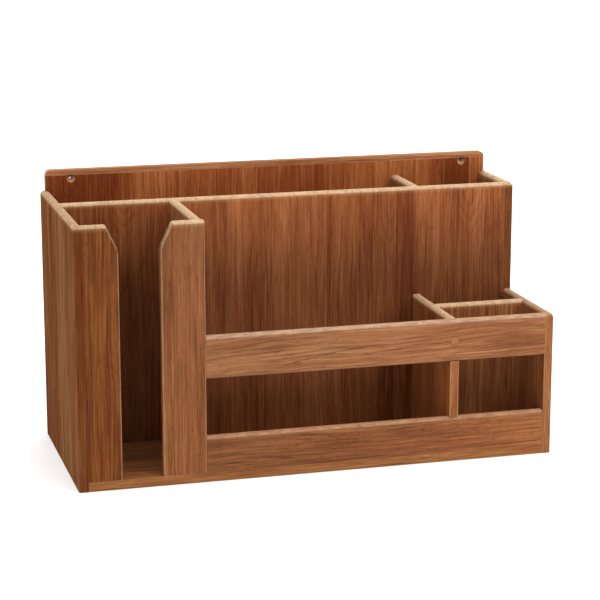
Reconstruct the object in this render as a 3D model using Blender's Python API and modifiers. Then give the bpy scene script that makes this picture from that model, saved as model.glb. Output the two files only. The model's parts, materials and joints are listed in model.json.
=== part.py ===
"""Teak galley rack: a wall-hung kitchen holder with upright compartments.

Units are metres, +Z is up.  The rack faces -Y, its width runs along X, and its
origin is at the middle of its footprint, on the surface that it stands on.
Dimensions below are counted from the front-left-bottom corner of the rack and
moved to that origin by pt().
"""

import math

import bmesh
import bpy
from mathutils import Matrix, Vector

MM = 0.001

# ---- overall sizes -------------------------------------------------------
WIDTH = 457 * MM          # across both sides
DEPTH = 193 * MM          # front faces to back of the back panel
SIDE_H = 245 * MM         # left side, partition, slotted bay, tall part of right side
BACK_H = 265 * MM         # top of the back panel with its edging
LOW_H = 138 * MM          # upper rail, low part of right side, low dividers
T = 9 * MM                # thickness of every board
GAP = 0.15 * MM           # half of the glue line between two boards

# ---- layout, from the front-left-bottom corner ---------------------------
PART_Y = 112 * MM         # front face of the partition
SLOT_X0 = 40.6 * MM       # front slot, left edge
SLOT_X1 = 78.4 * MM       # front slot, right edge
STILE_X1 = 118.9 * MM     # right edge of the stile and of the bay wall behind it
DIV_X0 = 353.6 * MM       # left face of the utensil and rear dividers
CROSS_Y = 61 * MM         # front face of the cross board in the utensil bay
CHAMFER_W = 11.4 * MM     # V mouth of the front slot
CHAMFER_H = 23.5 * MM
RAIL_HI_Z0 = 97.6 * MM    # underside of the upper rail
RAIL_LO_Z1 = 43.6 * MM    # top of the lower rail
EDGING_H = 5 * MM         # solid edging on the back panel
EDGING_R = 4.6 * MM       # its rounded ends

# ---- joints --------------------------------------------------------------
RABBET = T / 2            # back panel let into the sides
HOUSING = 3 * MM          # partition let into the sides
HOUSING_STOP = 14 * MM    # the housing stops this far below the top
TENON_L = 4 * MM          # stub tenons of the rails
TENON_T = 3 * MM
TENON_IN = 7 * MM         # shoulder above and below a tenon

# ---- edges ---------------------------------------------------------------
R_TOP = 4.0 * MM          # sanded top edges
W_TOP = 1.0               # bevel weights: share of R_TOP
W_EDGE = 0.5
W_SOFT = 0.25
EDGE_SEGS = 4

# ---- fixings -------------------------------------------------------------
HOLE_X = 29 * MM          # mounting holes, from each end of the rack
HOLE_Z = 256.6 * MM
HOLE_D = 2.2 * MM
HOLE_SINK_D = 8.2 * MM
PLUG_D = 8 * MM
PLUG_L = 3.6 * MM
PLUG_Z = (35.5 * MM, 117.6 * MM)
SCREW_D = 3.2 * MM
SCREW_HEAD_D = 6.4 * MM
SCREW_L = 22 * MM
SCREW_CLEAR = 0.3 * MM
BACK_SCREWS = (60 * MM, 228.5 * MM, 397 * MM)
BACK_SCREWS_UP = (70 * MM, 190 * MM)
BASE_SCREWS = ((60, 116.5), (228.5, 116.5), (397, 116.5), (114.4, 58), (358.1, 58))

PARTS = "teak_galley_rack"


def pt(x, y, z):
    """Corner coordinates to the rack's own frame."""
    return Vector((x - WIDTH / 2, y - DEPTH / 2, z))


# ---- scene ---------------------------------------------------------------
for old in list(bpy.data.objects):
    bpy.data.objects.remove(old, do_unlink=True)

parts = bpy.data.collections.new(PARTS)
cutters = bpy.data.collections.new("cutters")
bpy.context.scene.collection.children.link(parts)
bpy.context.scene.collection.children.link(cutters)


def material(name, rgb, rough, metal=0.0):
    m = bpy.data.materials.new(name)
    m.use_nodes = True
    m.diffuse_color = (*rgb, 1.0)
    b = m.node_tree.nodes["Principled BSDF"]
    b.inputs["Base Color"].default_value = (*rgb, 1.0)
    b.inputs["Roughness"].default_value = rough
    b.inputs["Metallic"].default_value = metal
    return m


TEAK = {
    "left_side": (0.215, 0.100, 0.042),
    "right_side": (0.250, 0.118, 0.050),
    "bottom_board": (0.235, 0.110, 0.046),
    "back_panel": (0.190, 0.075, 0.026),
    "back_edging": (0.300, 0.150, 0.065),
    "partition": (0.220, 0.092, 0.033),
    "slot_front": (0.240, 0.112, 0.046),
    "slot_stile": (0.290, 0.138, 0.060),
    "slot_bay_wall": (0.225, 0.100, 0.040),
    "upper_rail": (0.310, 0.148, 0.065),
    "lower_rail": (0.260, 0.120, 0.050),
    "utensil_divider": (0.250, 0.110, 0.045),
    "utensil_cross_board": (0.200, 0.090, 0.036),
    "rear_divider": (0.235, 0.105, 0.042),
    "lower_rail_plug": (0.235, 0.108, 0.048),
    "upper_rail_plug": (0.260, 0.122, 0.054),
}
STEEL = (0.62, 0.61, 0.58)


def link(obj, collection):
    for c in list(obj.users_collection):
        c.objects.unlink(obj)
    collection.objects.link(obj)


def finish(obj, name):
    obj.name = name
    obj.data.name = name
    link(obj, parts)
    obj.data.materials.clear()
    obj.data.materials.append(material(name, TEAK[name], 0.5))
    return obj


def cube(lo, hi):
    """Box between two corners, with its scale applied to the mesh."""
    lo, hi = pt(*lo), pt(*hi)
    bpy.ops.mesh.primitive_cube_add(size=1, location=(lo + hi) / 2)
    obj = bpy.context.object
    obj.data.transform(Matrix.Diagonal((*(hi - lo), 1.0)))
    return obj


def slab(outline, axis, at, thick):
    """Flat board cut from a 2D outline.

    axis "Y": outline is (x, z) and the board spans at..at+thick in Y.
    axis "X": outline is (y, z) and the board spans at..at+thick in X.
    """
    cu = bpy.data.curves.new("outline", "CURVE")
    cu.dimensions = "2D"
    cu.fill_mode = "BOTH"
    cu.extrude = thick / 2
    sp = cu.splines.new("POLY")
    sp.points.add(len(outline) - 1)
    for p, (u, v) in zip(sp.points, outline):
        p.co = (u, v, 0, 1)
    sp.use_cyclic_u = True
    ob = bpy.data.objects.new("outline", cu)
    parts.objects.link(ob)
    if axis == "Y":
        base = pt(0, at + thick / 2, 0)
        ob.matrix_world = Matrix.Translation(base) @ Matrix.Rotation(math.pi / 2, 4, "X")
    else:
        base = pt(at + thick / 2, 0, 0)
        turn = Matrix(((0, 0, 1, 0), (1, 0, 0, 0), (0, 1, 0, 0), (0, 0, 0, 1)))
        ob.matrix_world = Matrix.Translation(base) @ turn
    bpy.context.view_layer.update()
    dg = bpy.context.evaluated_depsgraph_get()
    me = bpy.data.meshes.new_from_object(ob.evaluated_get(dg))
    new = bpy.data.objects.new("slab", me)
    new.matrix_world = ob.matrix_world.copy()
    parts.objects.link(new)
    bpy.data.objects.remove(ob, do_unlink=True)
    bm = bmesh.new()
    bm.from_mesh(me)
    bmesh.ops.remove_doubles(bm, verts=bm.verts, dist=0.00001)
    bmesh.ops.dissolve_limit(bm, angle_limit=0.01, verts=bm.verts, edges=bm.edges)
    bmesh.ops.recalc_face_normals(bm, faces=bm.faces)
    bm.to_mesh(me)
    bm.free()
    me.transform(new.matrix_world)
    new.matrix_world = Matrix.Identity(4)
    return new


def soften(obj, rule):
    """Round the edges that rule() names.

    rule gets the edge's middle in corner coordinates and its direction, and
    returns the share of R_TOP that the edge is rounded by.
    """
    me = obj.data
    attr = me.attributes.new("bevel_weight_edge", "FLOAT", "EDGE")
    mw = obj.matrix_world
    off = Vector((WIDTH / 2, DEPTH / 2, 0))
    for e in me.edges:
        a = mw @ me.vertices[e.vertices[0]].co + off
        b = mw @ me.vertices[e.vertices[1]].co + off
        d = (b - a).normalized()
        attr.data[e.index].value = rule((a + b) / 2, (abs(d.x), abs(d.y), abs(d.z)))
    bev = obj.modifiers.new("round_edges", "BEVEL")
    bev.limit_method = "WEIGHT"
    bev.width = R_TOP
    bev.segments = EDGE_SEGS
    bev.use_clamp_overlap = True
    me.shade_smooth()
    me.set_sharp_from_angle(angle=math.radians(32))
    return obj


def hide_cutter(obj, name):
    obj.name = name
    link(obj, cutters)
    obj.hide_render = True
    obj.display_type = "WIRE"
    return obj


def cut(obj, cutter, operation="DIFFERENCE"):
    m = obj.modifiers.new(cutter.name, "BOOLEAN")
    m.operation = operation
    m.object = cutter
    m.solver = "EXACT"
    return m


def cut_box(obj, name, lo, hi):
    c = hide_cutter(cube(lo, hi), name)
    cut(obj, c)
    return c


def drill(name, start, direction, profile, segs=24):
    """Stepped round cutter: profile is a list of (distance, radius)."""
    bm = bmesh.new()
    for (d0, r0), (d1, r1) in zip(profile[:-1], profile[1:]):
        if d1 - d0 < 1e-7:
            continue
        geo = bmesh.ops.create_cone(
            bm, cap_ends=True, segments=segs, radius1=r0, radius2=r1, depth=d1 - d0
        )
        bmesh.ops.translate(bm, verts=geo["verts"], vec=(0, 0, (d0 + d1) / 2))
    bmesh.ops.remove_doubles(bm, verts=bm.verts, dist=0.000001)
    # the discs shared by two neighbouring sections lie inside the cutter
    inner = [f for f in bm.faces if len(f.verts) == segs and not all(len(e.link_faces) == 2 for e in f.edges)]
    bmesh.ops.delete(bm, geom=inner, context="FACES_ONLY")
    bmesh.ops.recalc_face_normals(bm, faces=bm.faces)
    me = bpy.data.meshes.new(name)
    bm.to_mesh(me)
    bm.free()
    obj = bpy.data.objects.new(name, me)
    cutters.objects.link(obj)
    obj.matrix_world = Matrix.Translation(pt(*start)) @ Vector(direction).to_track_quat("Z", "Y").to_matrix().to_4x4()
    return hide_cutter(obj, name)


def near(a, b, tol=0.0004):
    return abs(a - b) < tol


# ---- boards --------------------------------------------------------------
G = GAP

# Left side: plain rectangle, grain upright.  Rabbet for the back panel and a
# stopped housing for the partition are cut after its edges are rounded.
left_side = cube((0, 0, 0), (T - G, DEPTH, SIDE_H))


def left_rule(m, d):
    if near(m.z, SIDE_H) and d[1] > 0.9:
        return W_TOP
    if near(m.z, SIDE_H) and d[0] > 0.9:
        return W_TOP
    if near(m.x, 0) and d[2] > 0.9:
        return W_EDGE
    if near(m.x, 0) and near(m.z, 0):
        return W_SOFT
    return 0.0


soften(left_side, left_rule)
cut_box(left_side, "rabbet_left", (RABBET - G, DEPTH - T - G, -5 * MM), (T + 5 * MM, DEPTH + 5 * MM, SIDE_H + 5 * MM))
cut_box(
    left_side, "housing_left",
    (T - HOUSING - G, PART_Y - G, T - G), (T + 5 * MM, PART_Y + T + G, SIDE_H - HOUSING_STOP + G),
)
finish(left_side, "left_side")

# Right side: one board, tall behind and low in front.
right_side = slab(
    [
        (0, 0), (DEPTH, 0), (DEPTH, SIDE_H), (PART_Y, SIDE_H),
        (PART_Y, LOW_H), (0, LOW_H),
    ],
    "X", WIDTH - T + G, T - G,
)


def right_rule(m, d):
    outer = near(m.x, WIDTH)
    if near(m.z, SIDE_H) or (near(m.z, LOW_H) and m.y < PART_Y):
        return W_TOP
    if outer and d[2] > 0.9 and m.z > LOW_H and near(m.y, PART_Y):
        return W_EDGE
    if outer and d[2] > 0.9 and (near(m.y, 0) or near(m.y, DEPTH)):
        return W_EDGE
    if outer and near(m.z, 0):
        return W_SOFT
    return 0.0


soften(right_side, right_rule)
cut_box(right_side, "rabbet_right", (WIDTH - T - 5 * MM, DEPTH - T - G, -5 * MM), (WIDTH - RABBET + G, DEPTH + 5 * MM, SIDE_H + 5 * MM))
cut_box(
    right_side, "housing_right",
    (WIDTH - T - 5 * MM, PART_Y - G, T - G), (WIDTH - T + HOUSING + G, PART_Y + T + G, SIDE_H - HOUSING_STOP + G),
)
TENON_Y0 = (T - TENON_T) / 2
for tag, z0, z1 in (("hi", RAIL_HI_Z0, LOW_H), ("lo", T, RAIL_LO_Z1)):
    cut_box(
        right_side, "mortise_right_" + tag,
        (WIDTH - T - 5 * MM, TENON_Y0 - G, z0 + TENON_IN - G),
        (WIDTH - T + TENON_L + G, TENON_Y0 + TENON_T + G, z1 - TENON_IN + G),
    )
finish(right_side, "right_side")

# Bottom board between the sides; its front edge shows under the front boards.
bottom_board = cube((T + G, 0, 0), (WIDTH - T - G, DEPTH - T - G, T - G))
soften(bottom_board, lambda m, d: W_SOFT if near(m.z, 0) and near(m.y, 0) and d[0] > 0.9 else 0.0)
finish(bottom_board, "bottom_board")

# Back panel in the rabbets, with a strip of solid edging along its top.
back_panel = cube((RABBET + G, DEPTH - T + G, 0), (WIDTH - RABBET - G, DEPTH, BACK_H - EDGING_H - G))
finish(back_panel, "back_panel")

arc = [
    (EDGING_R * (1 - math.cos(a)), BACK_H - EDGING_R * (1 - math.sin(a)))
    for a in (math.radians(v) for v in range(0, 91, 18))
]
left_x = RABBET + G
right_x = WIDTH - RABBET - G
edging_outline = [(left_x, BACK_H - EDGING_H + G)]
edging_outline += [(left_x + u, v) for u, v in arc]
edging_outline += [(right_x - u, v) for u, v in reversed(arc)]
edging_outline += [(right_x, BACK_H - EDGING_H + G)]
back_edging = slab(edging_outline, "Y", DEPTH - T + G, T - G)
soften(
    back_edging,
    lambda m, d: W_SOFT if not near(m.z, BACK_H - EDGING_H + G) and d[1] < 0.5 else 0.0,
)
finish(back_edging, "back_edging")

# Partition: full width, let into both sides, standing on the bottom board.
partition = cube(
    (T - HOUSING + G, PART_Y + G, T + G), (WIDTH - T + HOUSING - G, PART_Y + T - G, SIDE_H)
)
soften(partition, lambda m, d: W_TOP if near(m.z, SIDE_H) and d[0] > 0.9 else 0.0)
cut_box(partition, "shoulder_left", (-5 * MM, PART_Y - 5 * MM, SIDE_H - HOUSING_STOP - G), (T + G, PART_Y + T + 5 * MM, SIDE_H + 5 * MM))
cut_box(partition, "shoulder_right", (WIDTH - T - G, PART_Y - 5 * MM, SIDE_H - HOUSING_STOP - G), (WIDTH + 5 * MM, PART_Y + T + 5 * MM, SIDE_H + 5 * MM))
finish(partition, "partition")

# Front of the slotted bay: two upright boards with a slot between them,
# opened out at the top by a chamfer on each.


def front_rule(slot_x):
    def rule(m, d):
        if near(m.z, SIDE_H) and d[0] > 0.9:
            return W_TOP
        if d[0] > 0.2 and d[2] > 0.2:
            return W_EDGE
        if near(m.x, slot_x) and d[2] > 0.9:
            return W_EDGE
        if d[1] > 0.9 and m.z > SIDE_H - CHAMFER_H - 0.001:
            return 1.0 if near(m.z, SIDE_H - CHAMFER_H, 0.001) else 0.0
        return 0.0
    return rule


slot_front = slab(
    [
        (T + G, T + G), (SLOT_X0, T + G), (SLOT_X0, SIDE_H - CHAMFER_H),
        (SLOT_X0 - CHAMFER_W, SIDE_H), (T + G, SIDE_H),
    ],
    "Y", 0, T - G,
)
soften(slot_front, front_rule(SLOT_X0))
finish(slot_front, "slot_front")

slot_stile = slab(
    [
        (SLOT_X1, T + G), (STILE_X1, T + G), (STILE_X1, SIDE_H),
        (SLOT_X1 + CHAMFER_W, SIDE_H), (SLOT_X1, SIDE_H - CHAMFER_H),
    ],
    "Y", 0, T - G,
)


def stile_rule(m, d):
    if near(m.x, STILE_X1) and d[2] > 0.9 and m.y < T / 2:
        return 0.0
    return front_rule(SLOT_X1)(m, d)


soften(slot_stile, stile_rule)
for tag, z0, z1 in (("hi", RAIL_HI_Z0, LOW_H), ("lo", T, RAIL_LO_Z1)):
    cut_box(
        slot_stile, "mortise_stile_" + tag,
        (STILE_X1 - TENON_L - G, TENON_Y0 - G, z0 + TENON_IN - G),
        (STILE_X1 + 5 * MM, TENON_Y0 + TENON_T + G, z1 - TENON_IN + G),
    )
finish(slot_stile, "slot_stile")

# Right wall of the slotted bay, behind the stile.
slot_bay_wall = cube((STILE_X1 - T, T + G, T + G), (STILE_X1, PART_Y - G, SIDE_H))
soften(slot_bay_wall, lambda m, d: W_TOP if near(m.z, SIDE_H) and d[1] > 0.9 else 0.0)
finish(slot_bay_wall, "slot_bay_wall")


# Rails across the wide bay and the utensil bay, with a stub tenon at each end.
def rail(name, z0, z1, soft_bottom):
    body = cube((STILE_X1 + G, 0, z0), (WIDTH - T - G, T - G, z1))

    def rule(m, d):
        if d[0] < 0.9:
            return 0.0
        if near(m.z, z1):
            return W_TOP
        if soft_bottom and near(m.z, z0):
            return W_TOP if near(m.y, 0) else W_EDGE
        return 0.0

    soften(body, rule)
    tenon = cube(
        (STILE_X1 - TENON_L + G, TENON_Y0 + G, z0 + TENON_IN + G),
        (WIDTH - T + TENON_L - G, TENON_Y0 + TENON_T - G, z1 - TENON_IN - G),
    )
    cut(body, hide_cutter(tenon, "tenon_" + name), "UNION")
    return finish(body, name)


upper_rail = rail("upper_rail", RAIL_HI_Z0, LOW_H, True)
lower_rail = rail("lower_rail", T + G, RAIL_LO_Z1, False)

# Divider between the wide bay and the utensil bay.  Its front edge is notched over
# both rails, so that the edge between them is flush with their faces.
utensil_divider = slab(
    [
        (T + G, T + G), (PART_Y - G, T + G), (PART_Y - G, LOW_H), (T + G, LOW_H),
        (T + G, RAIL_HI_Z0 - G), (0, RAIL_HI_Z0 - G), (0, RAIL_LO_Z1 + G), (T + G, RAIL_LO_Z1 + G),
    ],
    "X", DIV_X0, T,
)


def divider_rule(m, d):
    if near(m.z, LOW_H) and d[1] > 0.9:
        return W_TOP
    if near(m.y, 0) and d[2] > 0.9:
        return W_EDGE
    return 0.0


soften(utensil_divider, divider_rule)
finish(utensil_divider, "utensil_divider")

# Cross board that parts the utensil bay into a front and a rear pocket.
utensil_cross_board = cube(
    (DIV_X0 + T + G, CROSS_Y, T + G), (WIDTH - T - G, CROSS_Y + T, LOW_H)
)
soften(utensil_cross_board, lambda m, d: W_TOP if near(m.z, LOW_H) and d[0] > 0.9 else 0.0)
finish(utensil_cross_board, "utensil_cross_board")

# Divider of the rear compartment, between partition and back panel.
rear_divider = cube((DIV_X0, PART_Y + T + G, T + G), (DIV_X0 + T, DEPTH - T - G, SIDE_H))
soften(rear_divider, lambda m, d: W_TOP if near(m.z, SIDE_H) and d[1] > 0.9 else 0.0)
finish(rear_divider, "rear_divider")

# ---- fixings -------------------------------------------------------------
HEAD_L = (SCREW_HEAD_D - SCREW_D) / 2
R_S = SCREW_D / 2
R_H = SCREW_HEAD_D / 2
C = SCREW_CLEAR


def screw_hole(name, start, direction, sink, depth=None):
    """Countersunk clearance hole that leaves a thin gap all round a screw."""
    depth = depth or sink + SCREW_L + C
    return drill(
        name, start, direction,
        [
            (-2 * MM, R_H + C), (sink + C / 2, R_H + C),
            (sink + C / 2 + HEAD_L, R_S + C), (depth, R_S + C),
        ],
    )


def screw_mesh(name):
    """Countersunk screw along +Z, its head's face at z = 0: a turned profile."""
    prof = [
        (0.0, 0.0), (R_H, 0.0), (R_H, 0.3 * MM), (R_S, HEAD_L + 0.1 * MM),
        (R_S, SCREW_L - 4 * MM), (0.0, SCREW_L),
    ]
    me = bpy.data.meshes.new(name)
    bm = bmesh.new()
    vs = [bm.verts.new((r, 0.0, z)) for r, z in reversed(prof)]
    for a, b in zip(vs[:-1], vs[1:]):
        bm.edges.new((a, b))
    bmesh.ops.spin(
        bm, geom=list(bm.verts) + list(bm.edges), cent=(0, 0, 0), axis=(0, 0, 1),
        angle=math.tau, steps=16, use_merge=True,
    )
    bmesh.ops.remove_doubles(bm, verts=bm.verts, dist=0.00001)
    bmesh.ops.recalc_face_normals(bm, faces=bm.faces)
    bm.to_mesh(me)
    bm.free()
    return me


def cross_recess(name):
    """Two crossed wedges that leave a driver recess in a screw head."""
    bm = bmesh.new()
    for turn in (0, math.pi / 2):
        geo = bmesh.ops.create_cube(bm, size=1)
        for v in geo["verts"]:
            low = v.co.z > 0
            v.co.x *= (0.9 if low else 3.4) * MM
            v.co.y *= (0.5 if low else 0.8) * MM
            v.co.z = 1.4 * MM if low else -1.0 * MM
        bmesh.ops.rotate(bm, verts=geo["verts"], cent=(0, 0, 0), matrix=Matrix.Rotation(turn, 3, "Z"))
    me = bpy.data.meshes.new(name)
    bm.to_mesh(me)
    bm.free()
    return me


def one_screw():
    """Mesh shared by every screw: the turned body less its driver recess."""
    body = bpy.data.objects.new("screw_body", screw_mesh("screw_body"))
    tool = bpy.data.objects.new("screw_recess", cross_recess("screw_recess"))
    parts.objects.link(body)
    cutters.objects.link(tool)
    cut(body, hide_cutter(tool, "screw_recess")).use_self = True
    dg = bpy.context.evaluated_depsgraph_get()
    me = bpy.data.meshes.new_from_object(body.evaluated_get(dg))
    me.name = "wood_screw"
    bpy.data.objects.remove(body, do_unlink=True)
    me.materials.clear()
    me.materials.append(material("stainless_steel", STEEL, 0.32, 1.0))
    me.shade_smooth()
    me.set_sharp_from_angle(angle=math.radians(32))
    return me


WOOD_SCREW = one_screw()


def screws(name, places, direction):
    """Identical screws, one object each, numbered from 1."""
    for i, p in enumerate(places):
        obj = bpy.data.objects.new("%s_%d" % (name, i + 1), WOOD_SCREW)
        obj.rotation_mode = "QUATERNION"
        obj.rotation_quaternion = Vector(direction).to_track_quat("Z", "Y")
        obj.location = pt(*p)
        parts.objects.link(obj)


# Mounting holes: countersunk from the front, through the back panel.  The
# countersink just nicks the edging above it.
for tag, x in (("left", HOLE_X), ("right", WIDTH - HOLE_X)):
    sink = (HOLE_SINK_D - HOLE_D) / 2
    c = drill(
        "mounting_hole_" + tag, (x, DEPTH - T + G, HOLE_Z), (0, 1, 0),
        [(-0.5 * MM, HOLE_SINK_D / 2 + 0.5 * MM), (sink, HOLE_D / 2), (T + 3 * MM, HOLE_D / 2)],
    )
    cut(back_panel, c)
    cut(back_edging, c)

# Rail screws under round teak plugs, into the end grain of the divider.
plug_x = DIV_X0 + T / 2
screw_y = PLUG_L + C
for i, z in enumerate(PLUG_Z):
    board = (lower_rail, upper_rail)[i]
    hole = drill(
        "plug_hole_%d" % i, (plug_x, 0, z), (0, 1, 0),
        [
            (-2 * MM, PLUG_D / 2 + G), (screw_y + C, PLUG_D / 2 + G),
            (screw_y + C + 0.001 * MM, R_H + C), (screw_y + C + HEAD_L, R_S + C), (40 * MM, R_S + C),
        ],
        segs=32,
    )
    cut(board, hole)
    cut(utensil_divider, screw_hole("pilot_divider_%d" % i, (plug_x, screw_y, z), (0, 1, 0), 0.0))

for name, z in zip(("lower_rail_plug", "upper_rail_plug"), PLUG_Z):
    bpy.ops.mesh.primitive_cylinder_add(
        vertices=32, radius=PLUG_D / 2 - G, depth=PLUG_L, location=pt(plug_x, PLUG_L / 2, z),
        rotation=(math.pi / 2, 0, 0),
    )
    plug = bpy.context.object
    plug.data.shade_smooth()
    plug.data.set_sharp_from_angle(angle=math.radians(32))
    finish(plug, name)

screws("rail_screw", [(plug_x, screw_y + C, z) for z in PLUG_Z], (0, 1, 0))

# Screws from behind: through the back panel into the bottom board's rear edge
# and into the rear divider.
back_places = [(x, DEPTH - C, T / 2) for x in BACK_SCREWS]
back_places += [(plug_x, DEPTH - C, z) for z in BACK_SCREWS_UP]
for i, p in enumerate(back_places):
    hole = screw_hole("back_pilot_%d" % i, (p[0], DEPTH, p[2]), (0, -1, 0), C)
    cut(back_panel, hole)
    cut(bottom_board if i < len(BACK_SCREWS) else rear_divider, hole)
screws("back_screw", back_places, (0, -1, 0))

# Screws from below: through the bottom board into partition and dividers.
base_places = [(x * MM, y * MM, C) for x, y in BASE_SCREWS]
for i, p in enumerate(base_places):
    hole = screw_hole("base_pilot_%d" % i, (p[0], p[1], 0), (0, 0, 1), C)
    cut(bottom_board, hole)
    cut((partition, partition, partition, slot_bay_wall, utensil_divider)[i], hole)
screws("base_screw", base_places, (0, 0, 1))
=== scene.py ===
"""Looks of the teak galley rack: finely rounded boards in oiled teak, steel wood
screws, a pale floor, studio light and the camera.

Sizes are metres in the rack's own frame.  Boards are described in corner
coordinates (millimetres from the front-left-bottom corner), as the CAD is, and
pt() moves them to the frame.
"""

import json
import math

import bmesh
import bpy
from mathutils import Matrix, Vector

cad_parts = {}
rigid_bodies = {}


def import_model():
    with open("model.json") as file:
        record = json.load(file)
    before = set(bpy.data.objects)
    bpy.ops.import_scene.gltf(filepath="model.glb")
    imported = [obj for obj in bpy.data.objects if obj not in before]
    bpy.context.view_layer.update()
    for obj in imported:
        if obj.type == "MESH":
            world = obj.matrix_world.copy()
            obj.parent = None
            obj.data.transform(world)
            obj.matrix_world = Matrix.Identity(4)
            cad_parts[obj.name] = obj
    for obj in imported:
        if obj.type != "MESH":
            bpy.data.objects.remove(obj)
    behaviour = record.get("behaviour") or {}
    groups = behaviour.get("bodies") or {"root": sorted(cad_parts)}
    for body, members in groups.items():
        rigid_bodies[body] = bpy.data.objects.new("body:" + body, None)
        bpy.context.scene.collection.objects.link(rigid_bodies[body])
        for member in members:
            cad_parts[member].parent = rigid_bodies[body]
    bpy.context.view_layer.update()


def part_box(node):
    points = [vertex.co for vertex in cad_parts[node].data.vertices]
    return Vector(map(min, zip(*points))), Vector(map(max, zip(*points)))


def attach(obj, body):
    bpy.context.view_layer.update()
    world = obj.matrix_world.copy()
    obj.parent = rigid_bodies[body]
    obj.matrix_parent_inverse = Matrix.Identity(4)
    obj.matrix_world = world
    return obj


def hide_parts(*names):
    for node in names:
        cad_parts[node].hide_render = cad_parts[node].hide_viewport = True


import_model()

MM = 0.001
W, D = 457.0, 193.0            # overall width and depth
SIDE_H, BACK_H, LOW_H = 245.0, 265.0, 138.0
T = 9.0                        # board thickness
G = 0.05                       # half of a closed joint
PART_Y = 112.0
SLOT_X0, SLOT_X1, STILE_X1 = 40.6, 78.4, 118.9
DIV_X0 = 353.6
CROSS_Y = 61.0
CHAMFER_W, CHAMFER_H = 11.4, 23.5
RAIL_HI_Z0, RAIL_LO_Z1 = 97.6, 43.6
R = 4.0                        # sanded top edges
SEGS = 8
ARRIS = 0.35 / R               # every other edge is just broken


def pt(x, y, z):
    return Vector(((x - W / 2) * MM, (y - D / 2) * MM, z * MM))


# ---------------------------------------------------------------------------
# Solids
# ---------------------------------------------------------------------------
scratch = bpy.data.collections.new("scratch")
bpy.context.scene.collection.children.link(scratch)


def from_bmesh(bm, name):
    bmesh.ops.recalc_face_normals(bm, faces=bm.faces)
    me = bpy.data.meshes.new(name)
    bm.to_mesh(me)
    bm.free()
    ob = bpy.data.objects.new(name, me)
    scratch.objects.link(ob)
    return ob


def prism(outline, axis, lo, hi, name="solid"):
    """Closed prism: outline in the plane across axis, spanning lo..hi along it."""
    put = {
        "X": lambda u, v, w: pt(w, u, v),
        "Y": lambda u, v, w: pt(u, w, v),
        "Z": lambda u, v, w: pt(u, v, w),
    }[axis]
    bm = bmesh.new()
    near = [bm.verts.new(put(u, v, lo)) for u, v in outline]
    far = [bm.verts.new(put(u, v, hi)) for u, v in outline]
    bm.faces.new(near)
    bm.faces.new(far)
    n = len(outline)
    for i in range(n):
        bm.faces.new((near[i], near[(i + 1) % n], far[(i + 1) % n], far[i]))
    return from_bmesh(bm, name)


def block(lo, hi, name="solid"):
    return prism([(lo[0], lo[1]), (hi[0], lo[1]), (hi[0], hi[1]), (lo[0], hi[1])], "Z", lo[2], hi[2], name)


def close(a, b, tol=0.4):
    return abs(a - b) < tol


def soften(ob, rule):
    """Round every edge: rule gives an edge's share of R, or None for a broken arris."""
    me = ob.data
    weight = me.attributes.new("bevel_weight_edge", "FLOAT", "EDGE")
    off = Vector((W / 2, D / 2, 0))
    for e in me.edges:
        a = me.vertices[e.vertices[0]].co / MM + off
        b = me.vertices[e.vertices[1]].co / MM + off
        d = (b - a).normalized()
        w = rule((a + b) / 2, (abs(d.x), abs(d.y), abs(d.z)))
        weight.data[e.index].value = ARRIS if w is None else w
    bev = ob.modifiers.new("round", "BEVEL")
    bev.limit_method = "WEIGHT"
    bev.width = R * MM
    bev.segments = SEGS
    bev.use_clamp_overlap = True
    return ob


def boolean(ob, tool, operation="DIFFERENCE"):
    m = ob.modifiers.new("join" if operation == "UNION" else "cut", "BOOLEAN")
    m.operation = operation
    m.object = tool
    m.solver = "EXACT"


def drill(start, direction, profile, segs=48):
    """Turned cutter: profile is a list of (distance, radius) in mm along direction."""
    bm = bmesh.new()
    rings = []
    for d, r in profile:
        rings.append([
            bm.verts.new((r * MM * math.cos(2 * math.pi * i / segs), r * MM * math.sin(2 * math.pi * i / segs), d * MM))
            for i in range(segs)
        ])
    for one, two in zip(rings[:-1], rings[1:]):
        for i in range(segs):
            bm.faces.new((one[i], one[(i + 1) % segs], two[(i + 1) % segs], two[i]))
    bm.faces.new(rings[0])
    bm.faces.new(rings[-1])
    turn = Vector(direction).to_track_quat("Z", "Y").to_matrix().to_4x4()
    bm.transform(Matrix.Translation(pt(*start)) @ turn)
    return from_bmesh(bm, "drill")


def settle(ob, name):
    """Applies the modifiers and gives the board its own clean mesh and normals."""
    bpy.context.view_layer.update()
    dg = bpy.context.evaluated_depsgraph_get()
    me = bpy.data.meshes.new_from_object(ob.evaluated_get(dg))
    bm = bmesh.new()
    bm.from_mesh(me)
    bmesh.ops.remove_doubles(bm, verts=bm.verts, dist=0.000002)
    loose = [v for v in bm.verts if not v.link_faces]
    bmesh.ops.delete(bm, geom=loose, context="VERTS")
    bmesh.ops.recalc_face_normals(bm, faces=bm.faces)
    bm.to_mesh(me)
    bm.free()
    me.name = name
    me.shade_smooth()
    me.set_sharp_from_angle(angle=math.radians(38))
    new = bpy.data.objects.new(name, me)
    bpy.context.scene.collection.objects.link(new)
    wn = new.modifiers.new("flats", "WEIGHTED_NORMAL")
    wn.keep_sharp = True
    wn.weight = 70
    return new


# ---------------------------------------------------------------------------
# Procedural teak
# ---------------------------------------------------------------------------
def lin(rgb):
    return tuple((c / 255 / 12.92) if c <= 10.3 else ((c / 255 + 0.055) / 1.055) ** 2.4 for c in rgb)


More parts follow.
